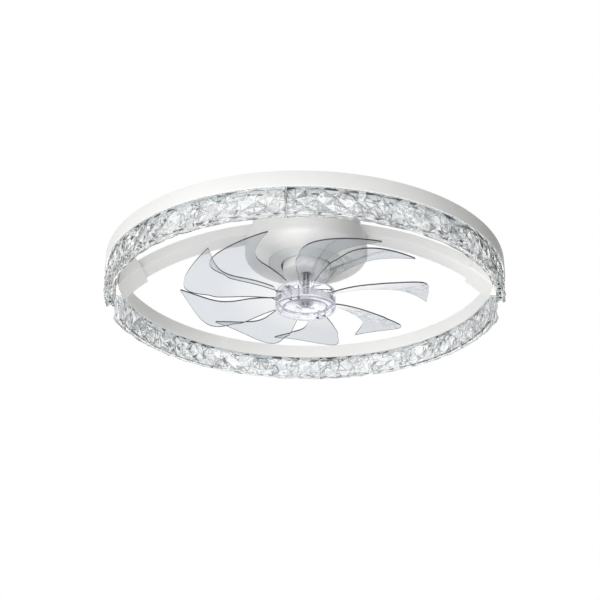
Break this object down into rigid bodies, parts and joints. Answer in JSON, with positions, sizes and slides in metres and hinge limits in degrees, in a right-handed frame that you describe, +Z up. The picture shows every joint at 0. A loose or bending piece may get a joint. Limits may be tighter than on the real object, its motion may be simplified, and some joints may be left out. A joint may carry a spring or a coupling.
{
  "type": "crystal ceiling fan with ring light",
  "caption": "Ceiling fan with clear swept blades on a clear hub, inside a white ring light with a band of faceted crystal, hung from an arched bar.",
  "frame": {"origin": "centre of the bracket's ceiling face", "axes": "+Z up into the ceiling, +X along the arched bar, -Y towards the viewer of the picture"},
  "size_m": [0.5, 0.5, 0.127],
  "materials": {
    "white_paint": "gloss",
    "pale_paint": "satin",
    "steel": "satin",
    "dark_steel": "satin",
    "crystal": "polished",
    "clear_blade": "polished",
    "milky": "milky",
    "led_board": "matt",
    "copper": "enamelled wire",
    "magnet": "matt",
    "driver_case": "matt",
    "terminal": "matt"
  },
  "bodies": {
    "lamp": {"ring_frame": "white_paint", "crystal_near_left": "crystal", "crystal_near_right": "crystal", "crystal_far_left": "crystal", "crystal_far_right": "crystal", "end_plug_near_left": "crystal", "end_plug_near_right": "crystal", "end_plug_far_left": "crystal", "end_plug_far_right": "crystal", "led_strip_near": "led_board", "led_strip_far": "led_board", "light_cover_near": "milky", "light_cover_far": "milky", "crossbar": "white_paint", "foot_left": "white_paint", "foot_right": "white_paint", "foot_screw_1": "steel", "foot_screw_2": "steel", "foot_screw_3": "steel", "foot_screw_4": "steel", "ceiling_bracket": "steel", "bracket_bolt_left": "steel", "bracket_bolt_right": "steel", "canopy": "white_paint", "terminal_block": "terminal", "motor_housing": "white_paint", "housing_screw_left": "steel", "housing_screw_right": "steel", "motor_cover": "pale_paint", "motor_case": "white_paint", "motor_end_plate": "steel", "motor_screw_near": "steel", "motor_screw_far": "steel", "motor_stator": "steel", "motor_coils": "copper", "upper_bearing": "steel", "lower_bearing": "steel", "fan_driver": "driver_case", "light_driver": "driver_case"},
    "rotor": {"shaft": "dark_steel", "rotor_magnet": "magnet", "hub_shell": "clear_blade", "hub_core": "clear_blade", "hub_cap": "clear_blade", "hub_nut": "steel", "hub_screw_1": "dark_steel", "hub_screw_2": "dark_steel", "hub_screw_3": "dark_steel", "hub_screw_4": "dark_steel", "blade_1": "clear_blade", "blade_2": "clear_blade", "blade_3": "clear_blade", "blade_4": "clear_blade", "blade_5": "clear_blade", "blade_6": "clear_blade", "blade_7": "clear_blade", "blade_8": "clear_blade", "blade_9": "clear_blade"}
  },
  "joints": [
    {"name": "fan_spin", "type": "hinge", "parent": "lamp", "child": "rotor", "pos_m": [0, 0, -0.07], "axis": [0, 0, 1], "continuous": true}
  ]
}
